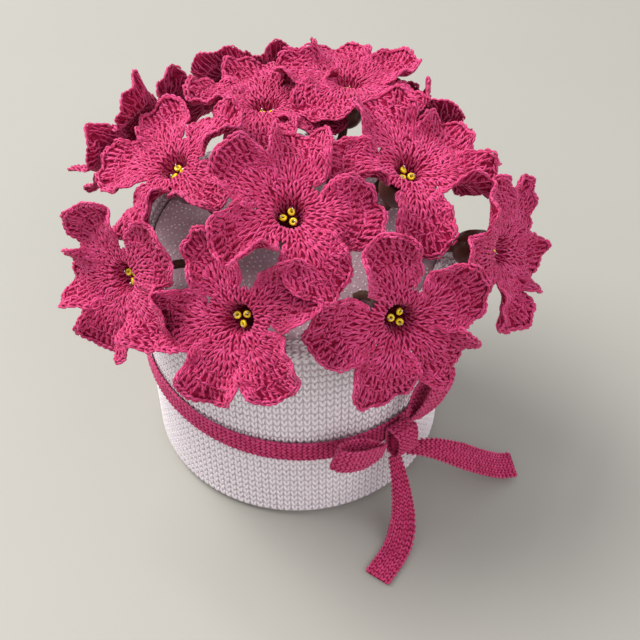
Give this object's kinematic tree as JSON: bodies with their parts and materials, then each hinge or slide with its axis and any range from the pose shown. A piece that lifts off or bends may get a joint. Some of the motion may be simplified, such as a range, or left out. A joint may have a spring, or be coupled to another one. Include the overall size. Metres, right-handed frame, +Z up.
{
  "type": "crocheted flower bouquet in a pot",
  "caption": "Crocheted trumpet-shaped flowers on wire stems, set in foam in a round pot with a knitted cover, a crocheted band and a bow.",
  "frame": {"origin": "middle of the pot's flat underside, where it stands", "axes": "+Z up; -Y is the front, the side seen in the picture, and the bow is towards +X of it"},
  "size_m": [0.1424, 0.142, 0.1314],
  "materials": {
    "petal_yarn": "matte",
    "ribbon_yarn": "matte",
    "cover_knit": "matte",
    "calyx_brown": "satin",
    "stem_wrap": "satin",
    "bead_yellow": "gloss",
    "tub_plastic": "satin",
    "foam": "matte"
  },
  "bodies": {
    "root": {"pot_cover": "cover_knit", "pot_tub": "tub_plastic", "foam_insert": "foam", "ribbon_band": "ribbon_yarn", "bow_knot": "ribbon_yarn", "bow_loop_left": "ribbon_yarn", "bow_loop_right": "ribbon_yarn", "ribbon_tail_front": "ribbon_yarn", "ribbon_tail_right": "ribbon_yarn", "corolla_1": "petal_yarn", "corolla_2": "petal_yarn", "corolla_3": "petal_yarn", "corolla_4": "petal_yarn", "corolla_5": "petal_yarn", "corolla_6": "petal_yarn", "corolla_7": "petal_yarn", "corolla_8": "petal_yarn", "corolla_9": "petal_yarn", "corolla_10": "petal_yarn", "corolla_11": "petal_yarn", "corolla_12": "petal_yarn", "calyx_1": "calyx_brown", "calyx_2": "calyx_brown", "calyx_3": "calyx_brown", "calyx_4": "calyx_brown", "calyx_5": "calyx_brown", "calyx_6": "calyx_brown", "calyx_7": "calyx_brown", "calyx_8": "calyx_brown", "calyx_9": "calyx_brown", "calyx_10": "calyx_brown", "calyx_11": "calyx_brown", "calyx_12": "calyx_brown", "stamens_1": "bead_yellow", "stamens_2": "bead_yellow", "stamens_3": "bead_yellow", "stamens_4": "bead_yellow", "stamens_5": "bead_yellow", "stamens_6": "bead_yellow", "stamens_7": "bead_yellow", "stamens_8": "bead_yellow", "stamens_9": "bead_yellow", "stamens_10": "bead_yellow", "stamens_11": "bead_yellow", "stamens_12": "bead_yellow", "stem_1": "stem_wrap", "stem_2": "stem_wrap", "stem_3": "stem_wrap", "stem_4": "stem_wrap", "stem_5": "stem_wrap", "stem_6": "stem_wrap", "stem_7": "stem_wrap", "stem_8": "stem_wrap", "stem_9": "stem_wrap", "stem_10": "stem_wrap", "stem_11": "stem_wrap", "stem_12": "stem_wrap"}
  },
  "joints": []
}
